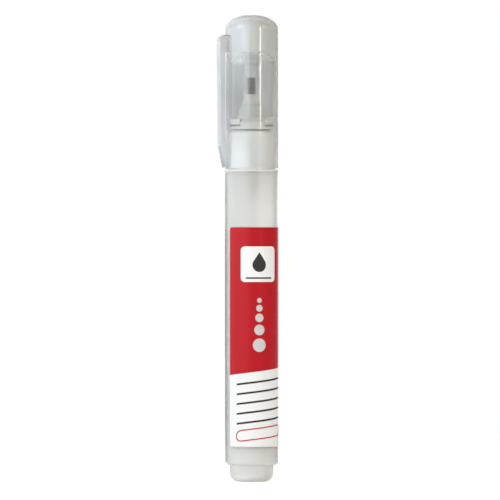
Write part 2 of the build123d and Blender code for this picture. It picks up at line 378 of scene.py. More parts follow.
# Varnished label film: saturated ink with a soft gloss.
LABEL_FILM = PrintedFilm(
    "printed_polypropylene_film", "fafaf8",
    (("red_ink", "c01722"), ("grey_ink", "d9d5d3"), ("dark_ink", "3a3938")),
    edge=0.05, least_ink=0.998, polish=(0.26, 0.28), mottle_size=1.6, wrinkle_size=9.0, wrinkle_depth=0.01)


def rounded(corners: Sequence[Sequence[float]], closed: bool = True, count: int = ARC_POINTS) -> Grid:
    """Polyline through corners, with arcs in place of those that have a rounding.

    An arc's centre lies on the bisector of its corner, at the rounding divided by the sine of the half angle,
    and the arc runs between the two points where it touches the sides.

    Args:
        corners: Radius and height of each corner, and its rounding as an optional third value.
        closed: Whether the last corner joins the first.
        count: Points on each arc.

    Returns:
        Points of radius and height, in order.
    """
    points = np.array([corner[:2] for corner in corners], float)
    runs = []
    for index, corner in enumerate(corners):
        here = points[index]
        at_end = not closed and index in (0, len(corners) - 1)
        if len(corner) < 3 or at_end:
            runs.append(here[None])
            continue
        back = points[index - 1] - here
        onward = points[(index + 1) % len(points)] - here
        back, onward = back / np.linalg.norm(back), onward / np.linalg.norm(onward)
        half = math.acos(float(np.clip(back @ onward, -1, 1))) / 2
        middle = back + onward
        middle /= np.linalg.norm(middle)
        centre = here + middle * corner[2] / math.sin(half)
        start = here + back * corner[2] / math.tan(half) - centre
        end = here + onward * corner[2] / math.tan(half) - centre
        sweep = math.pi - 2 * half
        share = np.linspace(0, 1, count)[:, None]
        arc = (start * np.sin((1 - share) * sweep) + end * np.sin(share * sweep)) / math.sin(sweep)
        runs.append(centre + arc)
    return np.concatenate(runs)


def ellipse_arc(radius: float, base: float, height: float, first: float, last: float, count: int) -> Grid:
    """Part of an upright ellipse about the axis: radius times cosine, and base plus height times sine.

    Args:
        radius: Half width.
        base: Height of its centre.
        height: Half height.
        first: Starting angle in degrees, from the horizontal.
        last: Ending angle in degrees.
        count: Points.

    Returns:
        Points of radius and height.
    """
    angle = np.radians(np.linspace(first, last, count))
    return np.stack([radius * np.cos(angle), base + height * np.sin(angle)], axis=1)


def resample(line: Grid, places: Grid) -> Grid:
    """Points of a line at fractional places counted in its own points."""
    count = np.arange(len(line))
    return np.stack([np.interp(places, count, line[:, axis]) for axis in range(2)], axis=1)


def grid_faces(rows: int, columns: int, wrap_rows: bool = False,
               wrap_columns: bool = False) -> list[list[int]]:
    """Quads between neighbouring points of a grid that is stored row by row.

    Args:
        rows: Rows of points.
        columns: Points in a row.
        wrap_rows: Whether the last row joins the first.
        wrap_columns: Whether the last point of a row joins its first.

    Returns:
        Four point numbers for each quad.
    """
    row = np.arange(rows if wrap_rows else rows - 1)[:, None]
    column = np.arange(columns if wrap_columns else columns - 1)[None, :]
    after, beside = (row + 1) % rows, (column + 1) % columns
    corners = ((row, column), (after, column), (after, beside), (row, beside))
    return np.stack([(first * columns + second).ravel() for first, second in corners], axis=1).tolist()


def smooth(mesh: bpy.types.Mesh) -> None:
    """Shades a mesh smooth, with its creases sharp."""
    mesh.shade_smooth()
    mesh.set_sharp_from_angle(angle=math.radians(CREASE))


def sheet_mesh(name: str, points: Grid) -> bpy.types.Mesh:
    """Open mesh in metres, with a quad between neighbouring points of a grid.

    Args:
        name: Name of the mesh.
        points: Rows of points in millimetres.

    Returns:
        The mesh.
    """
    mesh = bpy.data.meshes.new(name)
    mesh.from_pydata((points.reshape(-1, 3) * MM).tolist(), [], grid_faces(*points.shape[:2]))
    return mesh


def closed_mesh(name: str, points: Grid, ring: bool = True) -> bpy.types.Mesh:
    """Closed mesh in metres, welded, with its faces outward and its creases sharp.

    Each row of points is a closed outline, and quads join it to the next.

    Args:
        name: Name of the mesh.
        points: Rows of points in millimetres.
        ring: Whether the last row joins the first. If it doesn't, each of them is filled with a face.

    Returns:
        The finished mesh.
    """
    rows, columns = points.shape[:2]
    faces = grid_faces(rows, columns, ring, True)
    if not ring:
        faces += [list(range(columns)), list(range(columns * (rows - 1), columns * rows))]
    mesh = bpy.data.meshes.new(name)
    mesh.from_pydata((points.reshape(-1, 3) * MM).tolist(), [], faces)
    work = bmesh.new()
    work.from_mesh(mesh)
    bmesh.ops.remove_doubles(work, verts=work.verts, dist=WELD)
    bmesh.ops.dissolve_degenerate(work, edges=work.edges, dist=WELD)
    bmesh.ops.recalc_face_normals(work, faces=work.faces)
    work.to_mesh(mesh)
    work.free()
    smooth(mesh)
    return mesh


def revolve(outlines: Grid, heading: Grid) -> Grid:
    """Outlines turned to their headings: x and y are the radius times cosine and sine of the heading.

    Args:
        outlines: Points of radius and height, as one outline for all headings or one for each.
        heading: Headings in radians.

    Returns:
        A row of points for each heading.
    """
    turned = np.broadcast_to(outlines, (len(heading), *outlines.shape[-2:]))
    radius, height = turned[..., 0], turned[..., 1]
    turn = heading[:, None]
    return np.stack([radius * np.cos(turn), radius * np.sin(turn), height], axis=-1)


def lathe(name: str, profile: Grid, segments: int = ROUND) -> bpy.types.Mesh:
    """Mesh of a closed profile turned once about the axis.

    Args:
        name: Name of the mesh.
        profile: Points of radius and height round a closed outline.
        segments: Steps round the axis.

    Returns:
        The finished mesh.
    """
    heading = np.arange(segments) * TURN / segments
    return closed_mesh(name, revolve(profile, heading))


def add_object(name: str, data: bpy.types.ID) -> bpy.types.Object:
    """Object of this name and data, linked to the scene.

    Args:
        name: Name of the object.
        data: Mesh, lamp or camera that it shows.

    Returns:
        The object.
    """
    made = bpy.data.objects.new(name, data)
    bpy.context.scene.collection.objects.link(made)
    return made


def add_piece(mesh: bpy.types.Mesh, body: Body, finish: Finish, node: str) -> bpy.types.Object:
    """Puts a mesh in the scene as a dressed piece on a body.

    Args:
        mesh: Finished mesh, whose name becomes the piece's name.
        body: Body that carries it.
        finish: Its material.
        node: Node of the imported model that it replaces.

    Returns:
        The piece.
    """
    piece = add_object(mesh.name, mesh)
    mesh.materials.append(finish.material())
    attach(piece, body.value)
    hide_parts(node)
    log.info("%s: %d faces on %s, %s", piece.name, len(mesh.polygons), body.value, finish.name)
    return piece


def face_centres(mesh: bpy.types.Mesh) -> tuple[Grid, Grid]:
    """Where the faces of a mesh are.

    Args:
        mesh: Mesh in metres.

    Returns:
        Distance from the axis and height of the centre of each face, in millimetres.
    """
    centres = np.empty(3 * len(mesh.polygons))
    mesh.polygons.foreach_get("center", centres)
    across, along, height = centres.reshape(-1, 3).T / MM
    return np.hypot(across, along), height


def dress_faces(mesh: bpy.types.Mesh, chosen: NDArray[np.bool_], finish: Finish) -> None:
    """Gives some faces of a mesh another finish.

    Args:
        mesh: Mesh that has its first finish.
        chosen: For each face, whether it gets the new one.
        finish: Material of the chosen faces.
    """
    index = np.empty(len(mesh.polygons), np.int32)
    mesh.polygons.foreach_get("material_index", index)
    index[chosen] = len(mesh.materials)
    mesh.materials.append(finish.material())
    mesh.polygons.foreach_set("material_index", index)


def unite(first: bpy.types.Mesh, second: bpy.types.Mesh) -> bpy.types.Mesh:
    """One closed mesh from two that overlap, so that no wall is left inside clear plastic.

    Args:
        first: Mesh that gives its name.
        second: Mesh that is joined to it.

    Returns:
        The united mesh.
    """
    base = add_object("uniting_base", first)
    other = add_object("uniting_other", second)
    joining = base.modifiers.new("unite", "BOOLEAN")
    joining.operation, joining.solver, joining.object = "UNION", "EXACT", other
    bpy.context.view_layer.update()
    united = bpy.data.meshes.new_from_object(base.evaluated_get(bpy.context.evaluated_depsgraph_get()))
    name = first.name
    for item in (base, other):
        bpy.data.objects.remove(item)
    for mesh in (first, second):
        bpy.data.meshes.remove(mesh)
    united.name = name
    smooth(united)
    return united


@dataclass(frozen=True)
class Barrel:
    """Frosted tube with its end plug, the charge of fluid and the mixing ball."""

    radius: float = 7.5
    chamber: float = 6.4
    bottom: float = 4.7
    top: float = 88.1
    tail_rounding: float = 1.0
    rim_rounding: float = 0.4
    rim_height: float = 0.5
    shoulder: float = 1.0
    neck: float = 5.62
    neck_bore: float = 4.52
    neck_top: float = 95.97
    plug_head: float = 6.15
    plug_shank: float = 6.37
    plug_top: float = 8.4
    plug_dish: float = 1.0
    foot_rounding: float = 2.4
    fluid_radius: float = 6.35
    fluid_gap: float = 0.05
    fluid_top: float = 71.7
    meniscus: float = 0.5
    surface_points: int = 12
    pocket_end: float = -65.0
    pocket_points: int = 32
    ball_radius: float = 2.5
    ball_height: float = 9.981
    ball_points: int = 48

    def build(self) -> None:
        """Builds and dresses every piece."""
        self.tube()
        self.plug()
        self.fluid()
        self.ball()

    def tube(self) -> None:
        """Turned tube with a shoulder inside and a neck, which lets lamp light pass to what it holds."""
        inside = self.top - self.shoulder
        rim = self.top - self.rim_height
        mesh = lathe("barrel_tube", rounded([
            (self.chamber, self.bottom), (self.radius, self.bottom, self.tail_rounding), (self.radius, rim),
            (self.radius, self.top, self.rim_rounding), (self.neck, self.top), (self.neck, self.neck_top),
            (self.neck_bore, self.neck_top), (self.neck_bore, inside), (self.chamber, inside)]))
        piece = add_piece(mesh, Body.PEN, FROSTED_POLYPROPYLENE, "barrel")
        from_axis, height = face_centres(mesh)
        dress_faces(mesh, (height > rim) & (from_axis > self.chamber), THICK_POLYPROPYLENE)
        piece.visible_shadow = False

    def plug(self) -> None:
        """Turned plug with a rounded foot and a dished top."""
        mesh = lathe("tail_plug", rounded([
            (0, 0), (self.plug_head, 0, self.foot_rounding), (self.plug_head, self.bottom),
            (self.plug_shank, self.bottom), (self.plug_shank, self.plug_top),
            (0, self.plug_top - self.plug_dish)]))
        add_piece(mesh, Body.PEN, THICK_POLYPROPYLENE, "end_plug")
        height = face_centres(mesh)[1]
        dress_faces(mesh, height < self.bottom, FOOT_POLYPROPYLENE)

    def fluid(self) -> None:
        """Charge with a round pocket for the ball, and a surface that rises as the square of the radius."""
        pocket = self.ball_radius + 2 * self.fluid_gap
        slope = self.plug_dish / self.plug_shank
        apex = self.plug_top - self.plug_dish + self.fluid_gap
        hollow = ellipse_arc(pocket, self.ball_height, pocket, 90, self.pocket_end, self.pocket_points)
        hollow = hollow[hollow[:, 1] > apex + slope * hollow[:, 0]]
        wall = np.array([(self.fluid_radius, apex + slope * self.fluid_radius)])
        spread = np.linspace(1, 0, self.surface_points)
        surface = np.stack([self.fluid_radius * spread,
                            self.fluid_top - self.meniscus * (1 - spread ** 2)], axis=1)
        mesh = lathe("fluid_charge", np.concatenate([hollow, wall, surface]), SMALL_ROUND)
        add_piece(mesh, Body.PEN, CORRECTION_PAINT, "correction_fluid")

    def ball(self) -> None:
        """Ball as a turned half circle."""
        profile = ellipse_arc(self.ball_radius, self.ball_height, self.ball_radius, -90, 90, self.ball_points)
        mesh = lathe("stirring_ball", profile, SMALL_ROUND)
        add_piece(mesh, Body.BALL, LAPPED_STEEL, "mixing_ball")


def rounded_box(x: Grid, y: Grid, centre: tuple[float, float], half: tuple[float, float],
                rounding: float) -> Grid:
    """Signed distance to a rectangle with round corners: that to a smaller rectangle less the rounding.

    Args:
        x: First coordinate of each point.
        y: Second coordinate of each point.
        centre: Middle of the rectangle.
        half: Half of each side.
        rounding: Radius of its corners.

    Returns:
        Distances, negative inside.
    """
    across = np.abs(x - centre[0]) - half[0] + rounding
    up = np.abs(y - centre[1]) - half[1] + rounding
    outside = np.hypot(np.maximum(across, 0), np.maximum(up, 0))
    inside = np.minimum(np.maximum(across, up), 0)
    return outside + inside - rounding


def bar(x: Grid, y: Grid, height: float, ends: tuple[float, float], width: float) -> Grid:
    """Signed distance to a level bar with round ends: the distance to its middle line less half its width.

    Args:
        x: First coordinate of each point.
        y: Second coordinate of each point.
        height: Second coordinate of the middle line.
        ends: First coordinate of its left and its right end.
        width: Width of the bar.

    Returns:
        Distances, negative inside.
    """
    return np.hypot(x - np.clip(x, *ends), y - height) - width / 2


def falling_drop(x: Grid, y: Grid, centre: tuple[float, float], radius: float, reach: float) -> Grid:
    """Signed distance to a drop: a circle joined to the point above it by the two lines that touch it.

    Args:
        x: First coordinate of each point.
        y: Second coordinate of each point.
        centre: Middle of the circle.
        radius: Radius of the circle.
        reach: Height of the point above the middle.

    Returns:
        Distances, negative inside.
    """
    side, up = np.abs(x - centre[0]), y - centre[1]
    lean = math.asin(radius / reach)
    flank = side * math.cos(lean) + (up - reach) * math.sin(lean)
    chord = radius * math.sin(lean) - up
    return np.minimum(np.hypot(side, up) - radius, np.maximum(flank, chord))


@dataclass(frozen=True)
class Label:
    """Printed film wrapped round the barrel, with a bare strip under the clip.

    A point of the print is given by its distance along the film, from the edge that headings reach first
    after the clip, and its height. Each dot of the print is its height and its radius.
    """

    inner: float = 7.52
    film: float = 0.1
    bottom: float = 9.9
    top: float = 71.8
    bare_angle: float = 44.0
    corner: float = 0.8
    step: float = 0.3
    least_step: float = 0.015
    split_height: float = 30.1
    split_slope: float = 0.1216
    middle: float = 9.4
    panel_height: float = 61.4
    panel_half: tuple[float, float] = (5.4, 5.0)
    panel_rounding: float = 1.2
    drop_height: float = 61.2
    drop_radius: float = 2.0
    drop_reach: float = 3.6
    underline_height: float = 57.5
    underline_ends: tuple[float, float] = (5.6, 13.2)
    underline_width: float = 0.45
    dots: tuple[tuple[float, float], ...] = ((38.6, 1.9), (42.9, 1.5), (46.3, 1.2), (49.0, 0.95), (51.2, 0.7))
    rule_count: int = 5
    rule_drop: float = 2.9
    rule_pitch: float = 2.77
    rule_ends: tuple[float, float] = (2.9, 18.0)
    rule_width: float = 0.56
    oval_centre: tuple[float, float] = (10.2, 12.6)
    oval_half: tuple[float, float] = (7.6, 1.5)
    oval_line: float = 0.38
    back_centre: tuple[float, float] = (30.5, 52.5)
    back_half: tuple[float, float] = (7.5, 13.5)
    note_bottom: float = 42.0
    note_top: float = 63.5
    note_pitch: float = 1.5
    note_ends: tuple[float, float] = (24.4, 36.6)
    note_short: float = 3.5
    note_group: int = 3
    note_width: float = 0.35

    def build(self) -> None:
        """Builds the film as a grid of distance along it and height, with the distance turned into heading.

        Nearer to an end than the corner's radius, the top and bottom edges follow a quarter circle, and the
        steps along the film are closer.
        """
        radius = self.inner + self.film
        length = math.radians(360 - self.bare_angle) * radius
        along = np.linspace(0, length, int(length / self.step))
        bend = np.linspace(0, 1, ARC_POINTS) ** 2 * self.corner
        along = np.unique(np.concatenate([bend, along, length - bend]))
        along = along[np.insert(np.diff(along) > self.least_step, 0, True)]
        along[-1] = length
        from_edge = np.minimum(along, length - along)
        cut = np.clip(self.corner - from_edge, 0, None)
        cut = self.corner - np.sqrt(self.corner ** 2 - cut ** 2)
        share = np.linspace(0, 1, int((self.top - self.bottom) / self.step))[:, None]
        height = (self.bottom + cut)[None] + share * (self.top - self.bottom - 2 * cut)[None]
        along = np.broadcast_to(along[None], height.shape)
        heading = math.radians(180 + self.bare_angle / 2) + along / radius
        mesh = sheet_mesh("label_film", np.stack([
            radius * np.cos(heading), radius * np.sin(heading), height], axis=-1))
        for name, distance in self.print_fields(along.ravel(), height.ravel()).items():
            field = mesh.attributes.new(name, "FLOAT", "POINT")
            field.data.foreach_set("value", distance.astype(np.float32))
        mesh.flip_normals()
        mesh.shade_smooth()
        piece = add_piece(mesh, Body.PEN, LABEL_FILM, "label")
        wall = piece.modifiers.new("film", "SOLIDIFY")
        wall.thickness, wall.offset = self.film * MM, -1.0

    def print_fields(self, along: Grid, height: Grid) -> dict[str, Grid]:
        """Signed distance to the edge of each ink, negative inside it, in millimetres.

        The red field ends below at a slanted line, which the rules and the oval under it follow, and leaves
        out the two panels.

        Args:
            along: Distance along the film of each point.
            height: Height of each point.

        Returns:
            Distances by the name of their attribute.
        """
        slant = height - self.split_slope * along
        field = (self.split_height - slant) / math.hypot(1, self.split_slope)
        front = (self.middle, self.panel_height)
        panel = rounded_box(along, height, front, self.panel_half, self.panel_rounding)
        back = rounded_box(along, height, self.back_centre, self.back_half, self.panel_rounding)
        oval = np.abs(rounded_box(along, slant, self.oval_centre, self.oval_half, self.oval_half[1]))
        red = np.minimum(np.maximum.reduce([field, -panel, -back]), oval - self.oval_line / 2)
        dots = [np.hypot(along - self.middle, height - place) - size for place, size in self.dots]
        drop_centre = (self.middle, self.drop_height)
        drop = falling_drop(along, height, drop_centre, self.drop_radius, self.drop_reach)
        underline = bar(along, height, self.underline_height, self.underline_ends, self.underline_width)
        rows = self.split_height - self.rule_drop - self.rule_pitch * np.arange(self.rule_count)
        rules = [bar(along, slant, row, self.rule_ends, self.rule_width) for row in rows]
        first, last = self.note_ends
        notes = []
        for index, row in enumerate(np.arange(self.note_bottom, self.note_top, self.note_pitch)):
            short = index % self.note_group == self.note_group - 1
            notes.append(bar(along, height, row, (first, last - self.note_short * short), self.note_width))
        return {"red_ink": red, "grey_ink": np.minimum.reduce(dots),
                "dark_ink": np.minimum.reduce([*rules, *notes, drop, underline])}


@dataclass(frozen=True)
class Head:
    """Collar, nozzle with its snap lugs, metal tip, needle and spring."""

    collar_radius: float = 6.65
    collar_bore: float = 5.65
    collar_hole: float = 3.63
    collar_bottom: float = 88.1
    collar_top: float = 99.2
    collar_rounding: float = 1.8
    collar_edge: float = 0.15
    web_bottom: float = 96.0
    housing: float = 2.6
    housing_bore: float = 1.9
    housing_bottom: float = 82.0
    boss: float = 3.6
    foot: float = 5.0
    flange: float = 6.2
    flange_bottom: float = 99.45
    flange_top: float = 101.6
    lug_count: int = 3
    lug_angle: float = 55.0
    lug_heading: float = 198.5
    lug_root: float = 5.4
    lug_radius: float = 6.5
    lug_bottom: float = 100.7
    lug_top: float = 102.3
    lug_slit: float = 0.55
    lug_edge: float = 0.25
    lug_rounding: float = 0.5
    lug_steps: int = 31
    gap_steps: int = 35
    lower_base: float = 4.2
    lower_top: float = 2.6
    lower_sag: float = 0.35
    lower_end: float = 106.3
    upper_base: float = 2.85
    upper_top: float = 2.05
    upper_edge: float = 0.175
    upper_rounding: float = 0.35
    nozzle_top: float = 109.3
    tip_hole: float = 1.08
    tip_radius: float = 1.05
    tip_bore: float = 0.65
    tip_rounding: float = 0.3
    shank_top: float = 113.7
    nose_bottom: float = 116.4
    nose_top: float = 118.4
    nose_radius: float = 0.52
    nose_rounding: float = 0.08
    orifice: float = 0.3
    seat_length: float = 1.6
    tip_flange: float = 1.55
    tip_flange_bottom: float = 100.8
    pin_radius: float = 0.24
    pin_top: float = 118.85
    pin_rounding: float = 0.1
    rod_radius: float = 0.5
    rod_bottom: float = 83.5
    rod_rounding: float = 0.12
    needle_collar: float = 1.6
    needle_collar_bottom: float = 99.7
    needle_collar_top: float = 100.4
    spring_radius: float = 1.475
    spring_wire: float = 0.25
    spring_turns: int = 10
    spring_bottom: float = 86.5
    spring_gap: float = 0.03
    spring_steps: int = 48
    wire_sides: int = 12
    valve_travel: float = 0.45

    def build(self) -> None:
        """Builds and dresses every piece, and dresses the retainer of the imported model."""
        self.collar()
        self.nozzle()
        self.tip()
        self.needle()
        self.spring()
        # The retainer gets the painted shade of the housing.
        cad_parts["spring_retainer"].data.materials[0] = HOUSING_SHADE_POLYPROPYLENE.material()

    def collar(self) -> None:
        """Turned ring with a web under its rounded top."""
        mesh = lathe("collar_ring", rounded([
            (self.collar_bore, self.collar_bottom),
            (self.collar_radius, self.collar_bottom, self.collar_edge),
            (self.collar_radius, self.collar_top, self.collar_rounding), (self.collar_hole, self.collar_top),
            (self.collar_hole, self.web_bottom), (self.collar_bore, self.web_bottom)]))
        add_piece(mesh, Body.PEN, SATIN_POLYPROPYLENE, "collar")

    def nozzle(self) -> None:
        """Turned nozzle whose flange changes, over each lug, to an outline with a slit and a raised lug.

        Each heading takes one outline or the other. Doubled headings at a lug's ends make its side walls.
        """
        below = np.array([
            (self.housing_bore, self.housing_bottom), (self.housing, self.housing_bottom),
            (self.housing, self.web_bottom), (self.boss, self.web_bottom), (self.boss, self.collar_top),
            (self.foot, self.collar_top), (self.foot, self.flange_bottom), (self.flange, self.flange_bottom)])
        above = rounded([
            (self.lower_top, self.lower_end), (self.upper_base, self.lower_end, self.upper_edge),
            (self.upper_top, self.nozzle_top, self.upper_rounding), (self.tip_hole, self.nozzle_top),
            (self.tip_hole, self.flange_top), (self.housing_bore, self.flange_top)], closed=False)
        profiles = np.stack([np.concatenate([below, side, self.lower_stage(), above])
                             for side in self.flange_sides()])
        half, pitch = self.lug_angle / 2, 360 / self.lug_count
        starts = (self.lug_heading + pitch * np.arange(self.lug_count)) % 360
        sectors = [(np.linspace(start - half, start + half, self.lug_steps),
                    np.linspace(start + half, start + pitch - half, self.gap_steps)) for start in starts]
        heading = np.concatenate([part for sector in sectors for part in sector])
        lugged = np.tile(np.repeat([1, 0], [self.lug_steps, self.gap_steps]), self.lug_count)
        mesh = closed_mesh("nozzle_moulding", revolve(profiles[lugged], np.radians(heading)))
        add_piece(mesh, Body.PEN, NATURAL_NOZZLE, "nozzle")
        # The housing under the web is painted darker grey as shade inside the barrel.
        height = face_centres(mesh)[1]
        dress_faces(mesh, height < self.web_bottom, HOUSING_SHADE_POLYPROPYLENE)

    def flange_sides(self) -> Grid:
        """Side of the plain flange and side with a slit and a lug.

        Each point of the lug has a partner on the plain flange, the nearest point of its outline.

        Returns:
            Points of radius and height, of the plain side and then of the lug.
        """
        slit_bottom = self.lug_bottom - self.lug_slit
        lug = rounded([
            (self.flange, slit_bottom), (self.lug_root, slit_bottom), (self.lug_root, self.lug_bottom),
            (self.lug_radius, self.lug_bottom, self.lug_edge),
            (self.lug_radius, self.lug_top, self.lug_rounding),
            (self.lug_root, self.lug_top, self.lug_rounding), (self.lug_root, self.flange_top)], closed=False)
        on_top = self.flange_top - lug[:, 1] < self.flange - lug[:, 0]
        top = np.stack([np.minimum(lug[:, 0], self.flange), np.full(len(lug), self.flange_top)], axis=1)
        rise = np.clip(lug[:, 1], self.flange_bottom, self.flange_top)
        wall = np.stack([np.full(len(lug), self.flange), rise], axis=1)
        return np.stack([np.where(on_top[:, None], top, wall), lug])

    def lower_stage(self) -> Grid:
        """Arc from the flange to the top of the lower stage: the chord plus a bulge shaped as a parabola.

        Returns:
            Points of radius and height.
        """
        share = np.linspace(0, 1, CURVE_POINTS)[:, None]
        start = np.array([self.lower_base, self.flange_top])
        run = np.array([self.lower_top, self.lower_end]) - start
        outward = np.array([run[1], -run[0]]) / np.linalg.norm(run)
        return start + share * run + 4 * share * (1 - share) * self.lower_sag * outward

    def tip(self) -> None:
        """Turned tube with an inner flange, a shank, a cone and a fine nose."""
        mesh = lathe("drawn_tip", rounded([
            (self.tip_bore, self.tip_flange_bottom), (self.tip_flange, self.tip_flange_bottom),
            (self.tip_flange, self.flange_top), (self.tip_radius, self.flange_top),
            (self.tip_radius, self.shank_top, self.tip_rounding),
            (self.nose_radius, self.nose_bottom, self.tip_rounding),
            (self.nose_radius, self.nose_top, self.nose_rounding), (self.orifice, self.nose_top),
            (self.orifice, self.nose_bottom),
            (self.tip_bore, self.nose_bottom - self.seat_length)]), SMALL_ROUND)
        add_piece(mesh, Body.PEN, DRAWN_NICKEL, "metal_tip")

    def needle(self) -> None:
        """Turned needle with a collar for the spring, a sealing cone and a fine pin."""
        slope = (self.tip_bore - self.orifice) / self.seat_length
        cone_bottom = self.nose_bottom - (self.rod_radius - self.pin_radius) / slope
        mesh = lathe("needle_valve", rounded([
            (0, self.rod_bottom), (self.rod_radius, self.rod_bottom, self.rod_rounding),
            (self.rod_radius, self.needle_collar_bottom), (self.needle_collar, self.needle_collar_bottom),
            (self.needle_collar, self.needle_collar_top), (self.rod_radius, self.needle_collar_top),
            (self.rod_radius, cone_bottom), (self.pin_radius, self.nose_bottom),
            (self.pin_radius, self.pin_top, self.pin_rounding), (0, self.pin_top)]), NEEDLE_ROUND)
        add_piece(mesh, Body.VALVE, DRAWN_NICKEL, "valve_needle")

    def spring(self) -> None:
        """Wire carried along a helix.

        The path is the coil radius times the cosine and sine of the turn, rising evenly. A ring of the wire's
        radius stands across it, on the outward direction and on the direction across both that and the path.
        """
        low = self.spring_bottom + self.spring_wire / 2 + self.spring_gap
        high = self.needle_collar_bottom - self.spring_wire / 2 - self.spring_gap
        turn = np.linspace(0, TURN * self.spring_turns, self.spring_steps * self.spring_turns + 1)
        outward = np.stack([np.cos(turn), np.sin(turn), np.zeros_like(turn)], axis=1)
        path = self.spring_radius * outward
        path[:, 2] = np.linspace(low, high, len(turn))
        along = np.gradient(path, axis=0)
        along /= np.linalg.norm(along, axis=1)[:, None]
        across = np.cross(along, outward)
        ring = np.arange(self.wire_sides)[None, :, None] * TURN / self.wire_sides
        section = np.cos(ring) * outward[:, None] + np.sin(ring) * across[:, None]
        mesh = closed_mesh("spring_coil", path[:, None] + self.spring_wire / 2 * section, ring=False)
        piece = add_piece(mesh, Body.PEN, SPRING_WIRE, "valve_spring")
        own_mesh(piece)


@dataclass(frozen=True)
class Cap:
    """Clear shell with its clip, the liner inside it and the seal for the tip."""

    radius: float = 7.45
    bore: float = 6.7
    mouth: float = 88.35
    end: float = 131.67
    ceiling: float = 130.92
    mouth_rounding: float = 0.2
    mouth_run: float = 1.0
    dome: float = 4.1
    inner_dome: float = 3.35
    crown_cut: float = 0.2
    liner_mouth: float = 6.3
    liner_radius: float = 6.65
    liner_wall: float = 0.6
    liner_bottom: float = 102.9
    liner_top: float = 121.47
    liner_dome: float = 3.2
    socket_bore: float = 2.18
    socket_radius: float = 2.88
    socket_bottom: float = 117.47
    seal_radius: float = 2.15
    seal_bottom: float = 114.0
    seal_mouth: float = 1.111
    seal_rounding: float = 0.2
    seal_top_rounding: float = 0.15
    pocket: float = 0.64
    pocket_neck: float = 116.4
    pocket_top: float = 118.97
    clip_width: float = 4.8
    clip_edge: float = 0.5
    clip_edge_points: int = 8
    clip_edge_share: float = 0.8
    clip_start: float = 0.02
    clip_root: tuple[float, float] = (121.17, 126.17)
    clip_inner: float = 8.3
    clip_outer: float = 9.75
    clip_embed: float = 7.05
    clip_bend: float = 2.2
    clip_root_rounding: float = 0.6
    clip_lean: float = 9.4
    clip_lean_rounding: float = 1.475
    nose_top: float = 94.6
    nose_bottom: float = 88.7
    nose_radii: tuple[float, float] = (7.65, 8.1)
    bead_top: float = 98.2
    bead_rounding: float = 1.0

    def build(self) -> None:
        """Builds and dresses every piece."""
        self.shell()
        self.liner()
        self.seal()

    def dome_arc(self, radius: float, top: float, dome: float) -> Grid:
        """Elliptical dome of this radius and half height, from the wall to the flat of its crown."""
        crown = math.degrees(math.asin(1 - self.crown_cut / dome))
        return ellipse_arc(radius, top + self.crown_cut - dome, dome, 0, crown, DOME_POINTS)

    def shell(self) -> None:
        """Turned shell united with the clip, which lets lamp light pass to what it holds.

        A face is on the core side if it lies within the middle of the wall, which is a cylinder up to the
        base of the domes and half an ellipse above it. A face outside the shell's radius is on the clip.
        """
        mouth = rounded([
            (self.bore, self.mouth + self.mouth_run), (self.bore, self.mouth, self.mouth_rounding),
            (self.radius, self.mouth, self.mouth_rounding), (self.radius, self.mouth + self.mouth_run)],
            closed=False)
        profile = np.concatenate([
            mouth, self.dome_arc(self.radius, self.end, self.dome), [(0, self.end), (0, self.ceiling)],
            self.dome_arc(self.bore, self.ceiling, self.inner_dome)[::-1]])
        whole = unite(lathe("cap_shell", profile), self.clip())
        piece = add_piece(whole, Body.CAP, CLEAR_POLYSTYRENE, "outer_cap")
        from_axis, height = face_centres(whole)
        # The clip's faces take the grained finish with its painted shade.
        dress_faces(whole, from_axis > self.radius + self.clip_start, GRAINED_SHADED_POLYSTYRENE)
        dome_base = self.end + self.crown_cut - self.dome
        across = from_axis / ((self.radius + self.bore) / 2)
        up = np.maximum(height - dome_base, 0) / ((self.dome + self.inner_dome) / 2)
        dress_faces(whole, np.hypot(across, up) < 1, CORE_POLYSTYRENE)
        piece.visible_shadow = False

    def clip(self) -> bpy.types.Mesh:
        """Clip as a section carried along two side lines, its inner and outer one, from the root to the nose.

        The section is a rectangle as deep as the two lines are apart, with its two outer corners rounded.
        The outer line has two arcs and the inner one three, so its last two answer to the outer's second.

        Returns:
            The mesh of the clip, which reaches into the wall of the shell.
        """
        root_bottom, root_top = self.clip_root
        outer = rounded([
            (self.clip_embed, root_top), (self.clip_outer, root_top, self.clip_bend),
            (self.clip_lean, self.nose_top, self.clip_lean_rounding), (self.nose_radii[1], self.nose_bottom)],
            closed=False, count=CURVE_POINTS)
        inner = rounded([
            (self.clip_embed, root_bottom), (self.clip_inner, root_bottom, self.clip_root_rounding),
            (self.clip_inner, self.bead_top, self.bead_rounding),
            (self.nose_radii[0], self.nose_top, self.bead_rounding), (self.nose_radii[0], self.nose_bottom)],
            closed=False, count=CURVE_POINTS)
        one_arc, two_arcs, three_arcs = (CURVE_POINTS * arcs for arcs in (1, 2, 3))
        places = np.interp(np.arange(len(outer)), [0, 1, one_arc, one_arc + 1, two_arcs, two_arcs + 1],
                           [0, 1, one_arc, one_arc + 1, three_arcs, three_arcs + 1])
        inside = resample(inner, places)
        depth = np.linalg.norm(outer - inside, axis=1)
        edge = np.minimum(self.clip_edge, self.clip_edge_share * depth)
        half = self.clip_width / 2
        angle = np.linspace(0, math.pi / 2, self.clip_edge_points)
        side = np.concatenate([[-half], -half + self.clip_edge * (1 - np.cos(angle)),
                               half - self.clip_edge * (1 - np.cos(angle[::-1])), [half]])
        fall = 1 - np.sin(angle)
        sunk = np.concatenate([fall, fall[::-1]])[None] * edge[:, None] / depth[:, None]
        sunk = np.pad(sunk, ((0, 0), (1, 1)), constant_values=1.0)
        line = outer[:, None] + sunk[..., None] * (inside - outer)[:, None]
        points = np.stack([-line[..., 0], np.broadcast_to(side, sunk.shape), line[..., 1]], axis=-1)
        return closed_mesh("cap_clip", points, ring=False)

